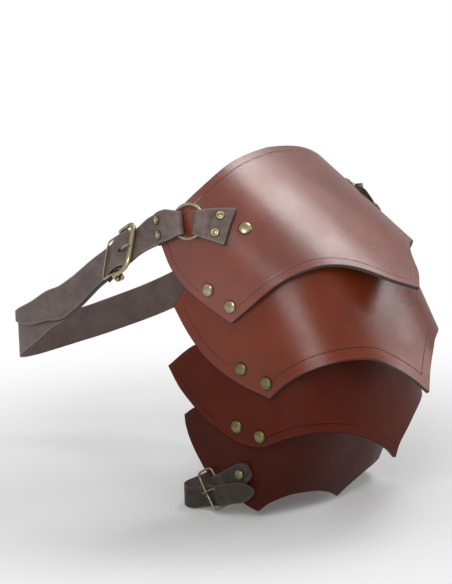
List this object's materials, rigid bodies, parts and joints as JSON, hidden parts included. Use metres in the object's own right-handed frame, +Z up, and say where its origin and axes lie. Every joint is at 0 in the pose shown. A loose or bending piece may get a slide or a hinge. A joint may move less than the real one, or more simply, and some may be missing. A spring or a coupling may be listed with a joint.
{
  "type": "leather pauldron",
  "caption": "Shoulder guard of overlapping riveted leather plates with a chest strap and an arm strap, each closed by a brass buckle.",
  "frame": {"origin": "underside of the top plate's crest, where it rests on the shoulder, 170 mm up the crest from its centre cusp", "axes": "+Z up, +X outwards along the wearer's left arm, -Y to the wearer's front; the plates are symmetric about the plane Y = 0"},
  "size_m": [0.4786, 0.2521, 0.322],
  "materials": {
    "plate_leather": "thick vegetable-tanned leather, red-brown, waxed, darker on the lower plates",
    "strap_leather": "dull dark brown strap leather with worn edges",
    "brass": "antique brass, polished on the high spots",
    "aged_brass": "brass with a dark patina"
  },
  "bodies": {
    "shoulder": {"billet_strap": "strap_leather", "billet_strap_rivet_lower": "brass", "billet_strap_rivet_upper": "brass", "buckle_strap": "strap_leather", "buckle_strap_rivet_lower": "brass", "buckle_strap_rivet_upper": "brass", "chest_buckle_frame": "brass", "chest_buckle_pin": "brass", "front_guide_rivet_12": "brass", "front_large_rivet": "brass", "front_pivot_rivet_12": "brass", "front_tab": "strap_leather", "front_tab_rivet_lower": "brass", "front_tab_rivet_upper": "brass", "lame_1": "plate_leather", "rear_guide_rivet_12": "brass", "rear_large_rivet": "brass", "rear_pivot_rivet_12": "brass", "rear_tab": "strap_leather", "rear_tab_rivet_lower": "brass", "rear_tab_rivet_upper": "brass"},
    "lame_2": {"lame_2": "plate_leather", "front_guide_rivet_23": "brass", "front_pivot_rivet_23": "brass", "rear_guide_rivet_23": "brass", "rear_pivot_rivet_23": "brass"},
    "lame_3": {"lame_3": "plate_leather", "front_guide_rivet_34": "brass", "front_pivot_rivet_34": "brass", "rear_guide_rivet_34": "brass", "rear_pivot_rivet_34": "brass"},
    "lame_4": {"lame_4": "plate_leather", "arm_strap": "strap_leather", "arm_strap_rivet": "aged_brass", "arm_buckle_tab": "strap_leather", "arm_buckle_tab_rivet": "aged_brass", "arm_buckle_frame": "aged_brass"},
    "front_ring": {"front_ring": "brass"},
    "rear_ring": {"rear_ring": "brass"},
    "chest_prong": {"chest_buckle_prong": "brass"},
    "chest_keeper": {"chest_buckle_keeper": "brass"},
    "arm_prong": {"arm_buckle_prong": "aged_brass"}
  },
  "joints": [
    {"name": "lame_2_tilt", "type": "hinge", "parent": "shoulder", "child": "lame_2", "pos_m": [0.01945, 0, -0.10456], "axis": [0, -1, 0], "range_deg": [-5, 12]},
    {"name": "lame_3_tilt", "type": "hinge", "parent": "lame_2", "child": "lame_3", "pos_m": [0.05438, 0, -0.16958], "axis": [0, -1, 0], "range_deg": [0, 12]},
    {"name": "lame_4_tilt", "type": "hinge", "parent": "lame_3", "child": "lame_4", "pos_m": [0.0424, 0, -0.22061], "axis": [0, -1, 0], "range_deg": [-5, 12]},
    {"name": "front_ring_turn", "type": "hinge", "parent": "shoulder", "child": "front_ring", "pos_m": [-0.02424, -0.11018, -0.03274], "axis": [0.1567, -0.9593, 0.2349], "continuous": true},
    {"name": "rear_ring_turn", "type": "hinge", "parent": "shoulder", "child": "rear_ring", "pos_m": [-0.01342, 0.11018, -0.03995], "axis": [0.1567, 0.9593, 0.2349], "continuous": true},
    {"name": "chest_prong_lift", "type": "hinge", "parent": "shoulder", "child": "chest_prong", "pos_m": [-0.10434, -0.11111, -0.07082], "axis": [0.2824, -0.5533, -0.7836], "range_deg": [0, 10]},
    {"name": "chest_keeper_lift", "type": "hinge", "parent": "shoulder", "child": "chest_keeper", "pos_m": [-0.10434, -0.11111, -0.07082], "axis": [-0.2824, 0.5533, 0.7836], "range_deg": [0, 35]},
    {"name": "arm_prong_lift", "type": "hinge", "parent": "lame_4", "child": "arm_prong", "pos_m": [-0.0065, -0.0988, -0.27454], "axis": [-0.515, 0, 0.8572], "range_deg": [0, 10]}
  ]
}
